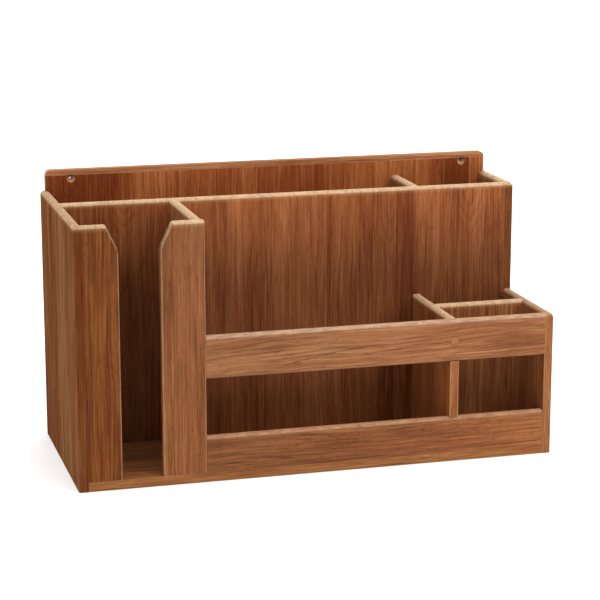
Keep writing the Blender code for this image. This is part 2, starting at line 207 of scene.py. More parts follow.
class Tree:
    """Small helper that writes a node tree."""

    def __init__(self, name):
        self.mat = bpy.data.materials.new(name)
        self.mat.use_nodes = True
        self.nt = self.mat.node_tree
        self.nt.nodes.clear()

    def add(self, kind, **props):
        n = self.nt.nodes.new(kind)
        for k, v in props.items():
            setattr(n, k, v)
        return n

    def put(self, socket, value):
        if isinstance(value, bpy.types.NodeSocket):
            self.nt.links.new(value, socket)
        elif value is not None:
            socket.default_value = value

    def math(self, op, a, b=None, c=None, clamp=False):
        n = self.add("ShaderNodeMath", operation=op, use_clamp=clamp)
        for s, v in zip(n.inputs, (a, b, c)):
            self.put(s, v)
        return n.outputs[0]

    def vec(self, op, a, b=None, scale=None):
        n = self.add("ShaderNodeVectorMath", operation=op)
        self.put(n.inputs[0], a)
        self.put(n.inputs[1], b)
        if scale is not None:
            self.put(n.inputs["Scale"], scale)
        return n.outputs["Value"] if op in ("LENGTH", "DOT_PRODUCT", "DISTANCE") else n.outputs[0]

    def join(self, x, y, z):
        n = self.add("ShaderNodeCombineXYZ")
        for s, v in zip(n.inputs, (x, y, z)):
            self.put(s, v)
        return n.outputs[0]

    def split(self, v):
        n = self.add("ShaderNodeSeparateXYZ")
        self.put(n.inputs[0], v)
        return n.outputs

    def noise(self, vector, detail=2.0, rough=0.5, out="Fac", dims="3D", w=None):
        n = self.add("ShaderNodeTexNoise", noise_dimensions=dims)
        n.inputs["Scale"].default_value = 1.0
        n.inputs["Detail"].default_value = detail
        n.inputs["Roughness"].default_value = rough
        if dims == "1D":
            self.put(n.inputs["W"], w)
        else:
            self.put(n.inputs["Vector"], vector)
        return n.outputs[out]

    def span(self, value, a, b, c=0.0, d=1.0, kind="SMOOTHSTEP"):
        n = self.add("ShaderNodeMapRange", interpolation_type=kind, clamp=True)
        self.put(n.inputs["Value"], value)
        for key, v in (("From Min", a), ("From Max", b), ("To Min", c), ("To Max", d)):
            self.put(n.inputs[key], v)
        return n.outputs["Result"]

    def ramp(self, fac, stops, kind="LINEAR"):
        n = self.add("ShaderNodeValToRGB")
        cr = n.color_ramp
        cr.interpolation = kind
        while len(cr.elements) < len(stops):
            cr.elements.new(0.5)
        for e, (p, c) in zip(cr.elements, stops):
            e.position = p
            e.color = (c, c, c, 1.0) if isinstance(c, (int, float)) else (*c, 1.0)
        self.put(n.inputs["Fac"], fac)
        return n.outputs["Color"]

    def mix(self, fac, a, b, blend="MIX"):
        n = self.add("ShaderNodeMix", data_type="RGBA", blend_type=blend)
        self.put(n.inputs[0], fac)
        for s, v in ((n.inputs[6], a), (n.inputs[7], b)):
            self.put(s, (*v, 1.0) if isinstance(v, tuple) and len(v) == 3 else v)
        return n.outputs[2]


AXES = {
    # grain up, face across X (front boards, partition, back panel)
    "front": (0, 1, 2),
    # grain up, face across Y (sides and dividers)
    "side": (1, 0, 2),
    # grain level, face across Z (rails and edging)
    "rail": (2, 1, 0),
    # grain level, face across Y (bottom board)
    "floor": (1, 2, 0),
}


def teak(
    name, lie, seed, pale, mid, deep, stave=0.0, shift=0.0, pith=(0.0, 70.0), ring=4.2, taper=0.03,
    warp=(9.0, 1.1), lines=0.30, veins=0.30, bands=(26.0, 1.0), strands=1.0, flecks=0.5, tone=0.0, spread=0.35,
    middle=(0.0, 0.0, 0.0), crest=None, slant=0.0, wave=2.5, rim=0.0, lit=1.0, sanded_sheen_amount=1.0, edge=0.4,
    gloss=0.1, strokes=(), arches=(), knots=(), circles=(), zones=(), light_ramp=None, tint=None, tint_in=None,
    bare_and_sheen=(1.0, 1.0, 1.0), down_shade=1.0, rear=None,
):
    """Solid oiled teak: growth rings round a pith, dark veins, fibres, pores, bands.

    lie picks the board's axes; pith is where the tree's centre runs, from the
    board's middle, in mm across the face and behind it.  strokes are single dark
    lines, arches are nests of pointed growth rings, knots are pin knots, circles
    are glue rings round plugs and zones are paler or darker stretches across the
    board, all in corner millimetres across and along the grain.  fade is painted
    light and shade, a slow change of brightness along the grain, tint the colour
    of narrow faces (those that tint_in takes in), bare the colour of wood fresh
    from sanding, also painted as highlight and sheen on tops and roundovers,
    under the painted shade on faces that look down and rear the colour of faces
    that look back.
    """
    t = Tree(name)
    object_mm = t.vec("SCALE", t.add("ShaderNodeTexCoord").outputs["Object"], scale=1000.0)
    axes = t.split(t.vec("SUBTRACT", object_mm, tuple(middle)))
    ia, ib, ig = AXES[lie]
    a, b, g = axes[ia], axes[ib], axes[ig]
    corner = (W / 2, D / 2, 0.0)
    zero_a, zero_g = corner[ia] + middle[ia], corner[ig] + middle[ig]

    # the grain wanders a little along the board
    at0 = t.vec("ADD", t.vec("MULTIPLY", t.join(a, b, g), (1 / 48.0, 1 / 48.0, 1 / 150.0)), (seed * 17.3, seed * 5.1, seed * 29.7))
    drift = t.math("MULTIPLY", t.math("SUBTRACT", t.noise(at0, 2, 0.55), 0.5), 4.0 * wave)
    if slant:
        drift = t.math("MULTIPLY_ADD", g, slant, drift)

    # edge-glued staves, each from its own part of the log
    if stave:
        at = t.math("DIVIDE", t.math("ADD", a, shift), stave)
        index = t.math("FLOOR", at)
        white = t.add("ShaderNodeTexWhiteNoise", noise_dimensions="1D")
        t.put(white.inputs["W"], t.math("MULTIPLY_ADD", index, 7.31, seed + 0.37))
        rnd = t.split(white.outputs["Color"])
        local = t.math("MULTIPLY", t.math("SUBTRACT", t.math("SUBTRACT", at, index), 0.5), stave)
        pa = t.math("MULTIPLY_ADD", t.math("SUBTRACT", rnd[1], 0.5), stave * 2.4, pith[0])
        pb = t.math("MULTIPLY_ADD", rnd[2], pith[1] * 1.1, pith[1] * 0.45)
        stave_tone = t.math("MULTIPLY", t.math("SUBTRACT", rnd[0], 0.5), spread)
        offset = t.vec("SCALE", white.outputs["Color"], scale=611.0)
        glue = t.span(t.math("ABSOLUTE", local), stave / 2 - 0.35, stave / 2 - 0.08)
    else:
        local, pa, pb, stave_tone, offset, glue = a, pith[0], pith[1], 0.0, (0.0, 0.0, 0.0), None
    local = t.math("ADD", local, drift)
    here = t.vec("ADD", t.join(t.math("ADD", a, drift), b, g), offset)
    here = t.vec("ADD", here, (seed * 37.1, seed * 91.7, seed * 53.3))

    def scaled(across, along, thick=None):
        return t.vec("MULTIPLY", here, (1 / across, 1 / (thick or across), 1 / along))

    # growth rings
    big = t.vec("SUBTRACT", t.noise(scaled(64, 240), 2, 0.5, "Color"), (0.5, 0.5, 0.5))
    small = t.vec("SUBTRACT", t.noise(scaled(11, 70), 3, 0.6, "Color"), (0.5, 0.5, 0.5))
    sway = t.split(t.vec("ADD", t.vec("SCALE", big, scale=warp[0] * 2.2), t.vec("SCALE", small, scale=warp[1] * 2.2)))
    ra = t.math("ADD", t.math("SUBTRACT", local, pa), sway[0])
    rb = t.math("ADD", t.math("SUBTRACT", b, pb), sway[1])
    radius = t.math("SQRT", t.math("ADD", t.math("MULTIPLY", ra, ra), t.math("MULTIPLY", rb, rb)))
    radius = t.math("MULTIPLY_ADD", g, taper, radius)
    uneven = t.math("MULTIPLY", t.noise(None, 2, 0.6, dims="1D", w=t.math("MULTIPLY_ADD", radius, 0.085, seed * 3.7)), 2.2)
    phase = t.math("ADD", t.math("DIVIDE", radius, ring), uneven)
    within = t.math("FRACT", phase)
    which = t.math("FLOOR", phase)
    each = t.add("ShaderNodeTexWhiteNoise", noise_dimensions="1D")
    t.put(each.inputs["W"], t.math("MULTIPLY_ADD", which, 3.17, seed + 5.5))
    ring_line = t.ramp(within, [(0.0, 0.85), (0.05, 1.0), (0.14, 0.36), (0.45, 0.06), (0.74, 0.0), (0.93, 0.30), (1.0, 0.85)])
    power = t.math("MULTIPLY", t.span(each.outputs["Value"], 0.15, 1.0, 0.25, 1.0, "LINEAR"), t.span(t.noise(scaled(7, 20), 3, 0.65), 0.36, 0.64, 0.15, 1.0))
    ring_line = t.math("MULTIPLY", ring_line, power)

    # dark veins that wander along the grain
    vein_at = t.math("ABSOLUTE", t.math("SUBTRACT", t.noise(scaled(15, 330), 4, 0.6), 0.5))
    vein = t.math("MULTIPLY", t.span(vein_at, 0.0, 0.022, 1.0, 0.0), t.span(t.noise(scaled(20, 60), 2, 0.5), 0.46, 0.64))
    thread_at = t.math("ABSOLUTE", t.math("SUBTRACT", t.noise(scaled(4.6, 210), 2, 0.5), 0.5))
    thread = t.math("MULTIPLY", t.span(thread_at, 0.0, 0.035, 1.0, 0.0), t.span(t.noise(scaled(6.0, 70), 2, 0.5), 0.42, 0.62))
    gleam_at = t.math("ABSOLUTE", t.math("SUBTRACT", t.noise(scaled(5.4, 180), 2, 0.5), 0.47))
    gleam = t.math("MULTIPLY", t.span(gleam_at, 0.0, 0.045, 1.0, 0.0), t.span(t.noise(scaled(8.0, 60), 2, 0.5), 0.45, 0.65))

    # figure that is this board's own
    broken = t.span(t.noise(scaled(1.6, 12.0), 2, 0.6), 0.30, 0.55, 0.45, 1.0)
    own = None
    for a0, g0, g1, slope, bend, width, strength in strokes:
        u = t.math("SUBTRACT", g, g0 - zero_g)
        centre = t.math("MULTIPLY_ADD", t.math("MULTIPLY_ADD", u, bend, slope), u, a0 - zero_a)
        centre = t.math("MULTIPLY_ADD", t.math("SUBTRACT", t.noise(scaled(5.0, 14.0), 2, 0.6), 0.5), 1.6, centre)
        m = t.span(t.math("ABSOLUTE", t.math("SUBTRACT", a, centre)), 0.0, width, strength, 0.0)
        ends = t.math("MULTIPLY", t.span(u, 0.0, 0.18 * (g1 - g0)), t.span(u, 0.75 * (g1 - g0), g1 - g0, 1.0, 0.0))
        m = t.math("MULTIPLY", m, ends)
        own = m if own is None else t.math("MAXIMUM", own, m)
    for a0, g0, g1, steep, pitch, reach, strength in arches:
        v = t.math("SUBTRACT", a, a0 - zero_a)
        v = t.math("MULTIPLY_ADD", t.math("SUBTRACT", t.noise(scaled(16.0, 40.0), 2, 0.6), 0.5), 5.0, v)
        spread_a = t.math("SQRT", t.math("MULTIPLY_ADD", v, v, 2.5))
        up = t.math("MULTIPLY_ADD", spread_a, -steep, g)
        turn = t.math("FRACT", t.math("DIVIDE", t.math("SUBTRACT", up, g0 - zero_g), pitch))
        m = t.ramp(turn, [(0.0, 0.7), (0.06, 1.0), (0.22, 0.30), (0.60, 0.0), (0.90, 0.18), (1.0, 0.7)])
        m = t.math("MULTIPLY", m, t.span(t.math("ABSOLUTE", v), reach * 0.35, reach, strength, 0.0))
        m = t.math("MULTIPLY", m, t.math("MULTIPLY", t.span(g, g0 - zero_g - 8.0, g0 - zero_g + 14.0), t.span(g, g1 - zero_g - 10.0, g1 - zero_g + 12.0, 1.0, 0.0)))
        own = m if own is None else t.math("MAXIMUM", own, m)
    if own is not None:
        own = t.math("MULTIPLY", own, broken)
    for a0, g0, half_a, half_g, strength in knots:
        ua = t.math("DIVIDE", t.math("SUBTRACT", a, a0 - zero_a), half_a)
        ug = t.math("DIVIDE", t.math("SUBTRACT", g, g0 - zero_g), half_g)
        m = t.span(t.math("SQRT", t.math("ADD", t.math("MULTIPLY", ua, ua), t.math("MULTIPLY", ug, ug))), 0.3, 1.2, strength, 0.0)
        own = m if own is None else t.math("MAXIMUM", own, m)

    for a0, g0, r0, half, strength in circles:
        ua = t.math("SUBTRACT", a, a0 - zero_a)
        ug = t.math("SUBTRACT", g, g0 - zero_g)
        away = t.math("SQRT", t.math("ADD", t.math("MULTIPLY", ua, ua), t.math("MULTIPLY", ug, ug)))
        m = t.span(t.math("ABSOLUTE", t.math("SUBTRACT", away, r0)), 0.0, half, strength, 0.0)
        own = m if own is None else t.math("MAXIMUM", own, m)

    # fibres, pores and flecks
    fibre = t.noise(scaled(1.05, 38), 3, 0.66)
    strand = t.noise(scaled(2.0, 105), 3, 0.60)
    pore = t.span(t.noise(scaled(0.85, 6.5), 1, 0.5), 0.58, 0.68)
    fleck = t.span(t.noise(scaled(1.1, 13.0), 2, 0.6), 0.56, 0.68)
    pore = t.math("MULTIPLY", pore, t.span(within, 0.0, 0.5, 1.0, 0.4))

    # broad bands of colour
    band = t.noise(scaled(bands[0], bands[0] * 11), 4, 0.6)
    cloud = t.noise(scaled(46, 120), 2, 0.5)
    value = t.math("MULTIPLY_ADD", t.math("SUBTRACT", band, 0.5), 1.7 * bands[1], 0.5 + tone)
    value = t.math("ADD", value, stave_tone)
    value = t.math("MULTIPLY_ADD", t.math("SUBTRACT", cloud, 0.5), 0.6, value)
    value = t.math("MULTIPLY_ADD", t.math("SUBTRACT", strand, 0.5), 2.3 * strands, value)
    value = t.math("MULTIPLY_ADD", gleam, 0.30 * strands, value)
    normal = t.split(t.add("ShaderNodeNewGeometry").outputs["Normal"])
    if rim:
        value = t.math("MULTIPLY_ADD", t.span(t.math("ABSOLUTE", normal[ia]), 0.55, 0.95), rim, value)
    for lo_a, hi_a, soft, amount in zones:
        inside = t.math("MULTIPLY", t.span(a, lo_a - zero_a - soft, lo_a - zero_a + soft), t.span(a, hi_a - zero_a - soft, hi_a - zero_a + soft, 1.0, 0.0))
        value = t.math("MULTIPLY_ADD", inside, amount, value)
    value = t.math("MULTIPLY", value, 1.0, clamp=True)
    colour = t.ramp(value, [(0.0, lin(deep)), (0.5, lin(mid)), (1.0, lin(pale))])

    dark = t.math("MULTIPLY", ring_line, lines)
    dark = t.math("MULTIPLY_ADD", vein, veins, dark)
    dark = t.math("MULTIPLY_ADD", thread, 0.34 * strands, dark)
    dark = t.math("MULTIPLY_ADD", pore, 0.75 * flecks, dark)
    dark = t.math("MULTIPLY_ADD", fleck, 0.40 * flecks, dark, clamp=True)
    if own is not None:
        dark = t.math("ADD", dark, own, clamp=True)
    if glue is not None:
        dark = t.math("MULTIPLY_ADD", glue, 0.22, dark, clamp=True)
    shade = t.mix(dark, (1.0, 1.0, 1.0), (0.42, 0.28, 0.20))
    colour = t.mix(1.0, colour, shade, "MULTIPLY")
    lift = t.math("MULTIPLY_ADD", t.math("SUBTRACT", fibre, 0.5), 1.5 * lit, lit)
    # painted light and shade: a slow ramp of brightness along the grain
    if light_ramp:
        lift = t.math("MULTIPLY", lift, t.span(g, light_ramp[0] - zero_g, light_ramp[2] - zero_g, light_ramp[1], light_ramp[3], "LINEAR"))
    colour = t.vec("SCALE", colour, scale=lift)
    if tint:
        narrow = t.span(t.math("ABSOLUTE", normal[ia]), 0.55, 0.95)
        if tint_in:
            narrow = t.math("MULTIPLY", narrow, t.span(a, tint_in[0] - zero_a, tint_in[0] - zero_a + 1.0))
            narrow = t.math("MULTIPLY", narrow, t.span(a, tint_in[1] - zero_a, tint_in[1] - zero_a + 1.0, 1.0, 0.0))
        colour = t.mix(narrow, colour, t.mix(1.0, colour, tint, "MULTIPLY"))
    if rear:
        colour = t.mix(t.span(normal[1], 0.3, 0.8), colour, t.mix(1.0, colour, rear, "MULTIPLY"))

    # sanded edges and end grain: drier and paler, with open pores; the same pale colour is also painted highlight and
    # sheen where the roundovers and tops catch the light
    flat = t.math("MAXIMUM", t.math("MAXIMUM", t.math("ABSOLUTE", normal[0]), t.math("ABSOLUTE", normal[1])), t.math("ABSOLUTE", normal[2]))
    # painted highlight: roundovers are painted paler, as where they catch the light
    rounded = t.span(flat, 0.84, 0.99, edge, 0.0)
    endgrain = t.span(t.math("ABSOLUTE", normal[ig]), 0.25, 0.85, 0.0, 0.55)
    rub = t.noise(scaled(5.0, 12.0), 3, 0.6)
    sanded_and_sheen = t.math("MAXIMUM", endgrain, rounded)
    if crest is not None:
        # painted sheen: up-facing tops and a narrow band just below them are painted pale, as lit from above
        top = t.span(axes[2], crest - R - 1.5, crest - R + 0.6)
        up = t.span(normal[2], 0.0, 0.60, 0.0, 0.95)
        sanded_and_sheen = t.math("MAXIMUM", sanded_and_sheen, t.math("MULTIPLY", top, up))
        top_sheen = t.math("MULTIPLY", t.span(axes[2], crest - R - 2.6, crest - R + 0.6), 0.16)
        sanded_and_sheen = t.math("MAXIMUM", sanded_and_sheen, top_sheen)
    sanded_and_sheen = t.math("MULTIPLY", sanded_and_sheen, t.span(rub, 0.3, 0.7, 0.78 * sanded_sheen_amount, 1.0 * sanded_sheen_amount, "LINEAR"))
    speck = t.span(t.noise(t.vec("MULTIPLY", here, (1 / 1.15, 1 / 1.15, 1 / (1.15 if lie in ("front", "side") else 9.0))), 2, 0.65), 0.50, 0.66)

    # the pale colour that sanding leaves, also used for the painted highlight and sheen
    def sanded_sheen_tone(*rgb):
        return tuple(c * k for c, k in zip(rgb, bare_and_sheen))

    sanded_sheen_colour = t.mix(t.span(rub, 0.36, 0.62), sanded_sheen_tone(0.445, 0.296, 0.166), sanded_sheen_tone(0.520, 0.366, 0.218))
    sanded_sheen_colour = t.mix(t.math("MULTIPLY", speck, 0.75), sanded_sheen_colour, sanded_sheen_tone(0.266, 0.159, 0.085))
    colour = t.mix(sanded_and_sheen, colour, sanded_sheen_colour)
    # painted shade: faces that look down are darkened, such as the upper flanks of the countersunk holes
    if down_shade < 1.0:
        colour = t.vec("SCALE", colour, scale=t.span(normal[2], -0.6, 0.1, down_shade, 1.0))

    # finish
    rough = t.math("MULTIPLY_ADD", t.math("SUBTRACT", fibre, 0.5), 0.16, 0.62)
    rough = t.math("MULTIPLY_ADD", pore, 0.12, rough)
    rough = t.math("MULTIPLY_ADD", t.math("SUBTRACT", cloud, 0.5), 0.12, rough)
    rough = t.math("MULTIPLY_ADD", sanded_and_sheen, 0.08, rough, clamp=True)
    height = t.math("MULTIPLY_ADD", pore, -0.9, t.math("MULTIPLY", fibre, 0.8))
    height = t.math("MULTIPLY_ADD", ring_line, -0.35, height)
    height = t.math("MULTIPLY_ADD", strand, 0.7, height)
    bump = t.add("ShaderNodeBump")
    bump.inputs["Strength"].default_value = 0.45
    bump.inputs["Distance"].default_value = 0.00016
    t.put(bump.inputs["Height"], height)

    shader = t.add("ShaderNodeBsdfPrincipled")
    shader.inputs["Metallic"].default_value = 0.0
    shader.inputs["IOR"].default_value = 1.47
    shader.inputs["Specular IOR Level"].default_value = gloss
    t.put(shader.inputs["Base Color"], colour)
    t.put(shader.inputs["Roughness"], rough)
    t.put(shader.inputs["Normal"], bump.outputs["Normal"])
    out = t.add("ShaderNodeOutputMaterial")
    t.put(out.inputs["Surface"], shader.outputs["BSDF"])
    t.mat.diffuse_color = (*lin(mid), 1.0)
    return t.mat


def steel():
    """Passivated stainless steel: turned rings on the head, fine drawn lines, dull spots."""
    t = Tree("screw_steel")
    p = t.vec("SCALE", t.add("ShaderNodeTexCoord").outputs["Object"], scale=1000.0)
    x, y, z = t.split(p)
    r = t.math("SQRT", t.math("ADD", t.math("MULTIPLY", x, x), t.math("MULTIPLY", y, y)))
    turned = t.noise(None, 3, 0.6, dims="1D", w=t.math("MULTIPLY", r, 9.0))
    drawn = t.noise(t.vec("MULTIPLY", p, (2.2, 2.2, 0.25)), 3, 0.6)
    spots = t.noise(t.vec("MULTIPLY", p, (0.9, 0.9, 0.9)), 3, 0.6)
    tone = t.math("ADD", t.math("MULTIPLY", turned, 0.5), t.math("MULTIPLY", drawn, 0.5))
    colour = t.ramp(tone, [(0.25, (0.36, 0.355, 0.34)), (0.75, (0.66, 0.655, 0.63))])
    colour = t.mix(t.span(spots, 0.55, 0.75, 0.0, 0.5), colour, (0.30, 0.275, 0.24))
    rough = t.math("MULTIPLY_ADD", t.math("SUBTRACT", tone, 0.5), 0.3, 0.34)
    rough = t.math("MULTIPLY_ADD", t.span(spots, 0.5, 0.75), 0.15, rough, clamp=True)
    bump = t.add("ShaderNodeBump")
    bump.inputs["Strength"].default_value = 0.4
    bump.inputs["Distance"].default_value = 0.00004
    t.put(bump.inputs["Height"], tone)
    shader = t.add("ShaderNodeBsdfPrincipled")
    shader.inputs["Metallic"].default_value = 1.0
    t.put(shader.inputs["Base Color"], colour)
    t.put(shader.inputs["Roughness"], rough)
    t.put(shader.inputs["Normal"], bump.outputs["Normal"])
    out = t.add("ShaderNodeOutputMaterial")
    t.put(out.inputs["Surface"], shader.outputs["BSDF"])
    return t.mat


# ---------------------------------------------------------------------------
# Boards
# ---------------------------------------------------------------------------
# Each board's looks.  The slow ramps of brightness along the boards are painted light and shade: brighter towards the
# right on the bottom board and rails, as the key light falls, darker low down on the partition, and darker towards the
# top on the slotted front and its stile.
WOOD = {
    # left side: the zones paint a paler vertical band of sheen and make the face darker towards the back
    "left_side": dict(lie="side", seed=3.0, pale=(126, 86, 55), mid=(106, 67, 41), deep=(89, 50, 27), stave=66.0, shift=12.0, pith=(0.0, 90.0), ring=5.0, taper=0.015, crest=SIDE_H, spread=0.3, rim=-0.4, gloss=0.0, edge=0.05, flecks=0.35, bands=(22.0, 1.1),
        tint=(0.97, 0.84, 0.72), bare_and_sheen=(0.84, 0.82, 0.86), zones=[(60.0, 110.0, 14.0, 0.20), (140.0, 210.0, 12.0, -0.25)]),
    "right_side": dict(lie="side", seed=8.0, pale=(145, 97, 60), mid=(127, 78, 44), deep=(103, 56, 29), stave=64.0, shift=20.0, pith=(0.0, 90.0), ring=4.6, taper=0.02, crest=SIDE_H, spread=0.3, rim=0.4, edge=0.30, tint=(0.42, 0.29, 0.14), tint_in=(100.0, 150.0)),
    "bottom_board": dict(lie="floor", seed=14.0, pale=(139, 93, 55), mid=(124, 77, 42), deep=(101, 57, 29), pith=(0.0, 60.0), ring=4.4, taper=0.02, edge=0.2, light_ramp=(220.0, 1.0, 450.0, 1.16)),
    # back panel: faces that look down get painted shade, and its pale up-facing colour is brightened into a painted
    # highlight on the lower flanks of the countersunk holes
    "back_panel": dict(lie="front", seed=21.0, pale=(160, 96, 52), mid=(136, 70, 33), deep=(105, 47, 15), stave=74.0, shift=14.0, pith=(0.0, 50.0), ring=3.6, taper=0.05, spread=0.7, strands=0.7, flecks=0.65, down_shade=0.4, rear=(0.86, 0.98, 1.12), bare_and_sheen=(1.42, 1.30, 1.30),
        zones=[(-10.0, 76.0, 8.0, -0.6), (335.0, 395.0, 8.0, 0.35), (405.0, 470.0, 8.0, -0.25)]),
    "back_edging": dict(lie="rail", seed=27.0, pale=(172, 120, 82), mid=(151, 98, 61), deep=(122, 71, 39), pith=(0.0, 60.0), ring=2.6, taper=0.01, lines=0.3, rear=(0.86, 0.98, 1.12)),
    "partition": dict(lie="front", seed=33.0, pale=(137, 82, 47), mid=(117, 65, 32), deep=(90, 41, 16), stave=70.0, shift=33.0, pith=(0.0, 42.0), ring=3.8, taper=0.07, crest=SIDE_H, spread=0.3, edge=0.1, strands=0.72, bands=(26.0, 1.15), light_ramp=(165.0, 0.74, 242.0, 1.24),
        arches=[(411.5, 190.0, 245.0, 2.1, 15.0, 17.0, 0.42), (67.0, 205.0, 245.0, 1.6, 13.0, 15.0, 0.40), (330.0, 150.0, 232.0, 2.4, 19.0, 16.0, 0.30)],
        strokes=[(366.6, 60.0, 245.0, 0.0, 0.0, 0.9, 0.45), (436.8, 40.0, 245.0, 0.0, 0.0, 0.8, 0.40), (443.0, 120.0, 236.0, 0.01, 0.0, 3.2, 0.45), (352.0, 30.0, 215.0, 0.02, 0.0, 3.0, 0.30)],
        knots=[(373.3, 203.3, 3.2, 0.9, 0.6)]),
    "slot_front": dict(lie="front", seed=38.0, strokes=[(9.4, -40.0, 300.0, 0.0, 0.0, 0.9, 0.5)], strands=1.5, light_ramp=(20.0, 1.16, 120.0, 0.96), bare_and_sheen=(0.90, 0.86, 0.90), pale=(113, 65, 26), mid=(97, 51, 17), deep=(76, 35, 10), pith=(0.0, 80.0), ring=4.4, taper=0.02, crest=SIDE_H, flecks=0.6),
    "slot_stile": dict(lie="front", seed=44.0, pale=(129, 82, 49), mid=(113, 68, 38), deep=(96, 53, 25), pith=(6.0, 70.0), ring=4.0, taper=0.02, crest=SIDE_H, strands=0.75, light_ramp=(10.0, 1.22, 235.0, 0.90),
        strokes=[(116.6, 100.0, 135.0, -0.10, 0.0, 0.8, 0.7), (113.5, 88.0, 118.0, 0.10, 0.0, 0.7, 0.5), (115.0, 60.0, 92.0, 0.08, 0.0, 0.7, 0.45)]),
    "slot_bay_wall": dict(lie="side", seed=49.0, pale=(135, 86, 50), mid=(119, 69, 37), deep=(96, 49, 22), stave=52.0, shift=10.0, pith=(0.0, 70.0), ring=4.2, crest=SIDE_H),
    "upper_rail": dict(lie="rail", seed=53.0, pale=(146, 102, 67), mid=(131, 83, 51), deep=(104, 61, 33), pith=(-10.0, 22.0), ring=5.2, taper=0.09, crest=LOW_H, slant=-0.035, wave=3.6, edge=0.25,
        strokes=[(103.0, 182.8, 300.0, 0.2648, -0.00106, 0.75, 0.95), (109.0, 246.0, 457.0, 0.085, -0.00004, 0.8, 0.75), (111.0, 195.0, 262.0, 0.13, -0.0006, 0.6, 0.5), (116.5, 158.0, 196.0, 0.16, -0.001, 0.6, 0.55), (106.5, 300.0, 452.0, 0.10, -0.0002, 0.7, 0.45), (128.0, 330.0, 455.0, 0.03, 0.0, 0.7, 0.40)],
        circles=[(117.6, 358.1, 4.1, 0.5, 0.5)], strands=0.85, light_ramp=(150.0, 0.84, 330.0, 1.02), bare_and_sheen=(0.78, 0.72, 0.78)),
    "lower_rail": dict(lie="rail", seed=59.0, pale=(134, 85, 51), mid=(118, 71, 40), deep=(95, 53, 27), pith=(8.0, 36.0), ring=3.6, taper=0.02, crest=RAIL_LO_Z1, flecks=0.7, edge=0.25,
        circles=[(35.5, 358.1, 4.1, 0.5, 0.6)], strands=0.9, light_ramp=(130.0, 0.76, 430.0, 1.28), bare_and_sheen=(0.68, 0.52, 0.47)),
    "utensil_divider": dict(lie="side", seed=64.0, pale=(143, 91, 53), mid=(125, 70, 34), deep=(100, 52, 20), stave=54.0, shift=40.0, pith=(0.0, 70.0), ring=4.2, crest=LOW_H, rim=0.2),
    "utensil_cross_board": dict(lie="front", seed=69.0, pale=(139, 88, 52), mid=(119, 69, 37), deep=(94, 49, 22), stave=60.0, shift=5.0, pith=(0.0, 60.0), ring=4.2, crest=LOW_H),
    "rear_divider": dict(lie="side", seed=73.0, pale=(142, 92, 57), mid=(123, 75, 44), deep=(99, 54, 27), pith=(0.0, 60.0), ring=4.2, crest=SIDE_H),
    "lower_rail_plug": dict(lie="rail", seed=78.0, pale=(137, 91, 55), mid=(122, 78, 46), deep=(104, 61, 34), pith=(0.0, 20.0), ring=2.4, slant=0.3),
    "upper_rail_plug": dict(lie="rail", seed=83.0, pale=(151, 107, 71), mid=(136, 90, 57), deep=(113, 66, 37), pith=(0.0, 20.0), ring=2.6, slant=-0.15),
}


def board(ob, name):
    new = settle(ob, name + "_wood")
    spec = dict(WOOD[name])
    lo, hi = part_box(name)
    middle = [500.0 * (lo[i] + hi[i]) for i in range(3)]
    if "crest" in spec:
        spec["crest"] -= middle[2]
    new.data.materials.clear()
    new.data.materials.append(teak(name + "_teak", middle=middle, **spec))
    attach(new, "root")
    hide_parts(name)
    return new


RABBET = T / 2
HOUSING, HOUSING_STOP = 3.0, 14.0
HOUSING_BACK = 1.2             # the right housing starts behind the face it shares with the partition
TENON_L, TENON_T, TENON_IN = 4.0, 3.0, 7.0
TENON_Y0 = (T - TENON_T) / 2
COPE = 4.2                     # how far a board's top runs on into the one it meets

# screw places, in the CAD's order
SCREW_D, HEAD_D, SCREW_L, CLEAR = 3.2, 6.4, 22.0, 0.3
HEAD_L = (HEAD_D - SCREW_D) / 2
PLUG_D, PLUG_L, PLUG_Z = 8.0, 3.6, (35.5, 117.6)
PLUG_X = DIV_X0 + T / 2
BACK_AT = [(60, D - CLEAR, 4.5), (228.5, D - CLEAR, 4.5), (397, D - CLEAR, 4.5), (PLUG_X, D - CLEAR, 70), (PLUG_X, D - CLEAR, 190)]
BASE_AT = [(60, 116.5, CLEAR), (228.5, 116.5, CLEAR), (397, 116.5, CLEAR), (114.4, 58, CLEAR), (358.1, 58, CLEAR)]
RAIL_AT = [(PLUG_X, PLUG_L + 2 * CLEAR, z) for z in PLUG_Z]


def pilot(start, direction, sink):
    return drill(start, direction, [
        (-2, HEAD_D / 2 + CLEAR), (sink + CLEAR / 2, HEAD_D / 2 + CLEAR),
        (sink + CLEAR / 2 + HEAD_L, SCREW_D / 2 + CLEAR), (sink + SCREW_L + CLEAR, SCREW_D / 2 + CLEAR),
    ])


back_pilots = [pilot((x, D, z), (0, -1, 0), CLEAR) for x, y, z in BACK_AT]
base_pilots = [pilot((x, y, 0), (0, 0, 1), CLEAR) for x, y, z in BASE_AT]


def side_rule(m, d):
    if close(m.z, SIDE_H):
        return 1.0
    if close(m.x, 0) and d[2] > 0.9:
        return 0.5
    if close(m.x, 0) and close(m.z, 0):
        return 0.25
    return None


def right_rule(m, d):
    outer = close(m.x, W)
    if close(m.z, SIDE_H) or (close(m.z, LOW_H) and m.y < PART_Y):
        return 1.0
    if outer and d[2] > 0.9:
        return 0.5
    if outer and close(m.z, 0):
        return 0.25
    return None


def slot_rule(slot_x, free_x=None):
    def rule(m, d):
        if close(m.z, SIDE_H) and d[0] > 0.9:
            return 1.0
        if d[0] > 0.2 and d[2] > 0.2:
            return 0.5
        if close(m.x, slot_x) and d[2] > 0.9:
            return 0.5
        if free_x is not None and close(m.x, free_x) and close(m.y, 0) and d[2] > 0.9:
            return 0.3
        if d[1] > 0.9 and m.z > SIDE_H - CHAMFER_H - 1:
            return 1.0 if close(m.z, SIDE_H - CHAMFER_H, 1.0) else 0.3
        return None
    return rule


def top_along(axis, z):
    """Rounds the two long top edges and breaks the rest."""
    return lambda m, d: 1.0 if close(m.z, z) and d[axis] > 0.9 else None


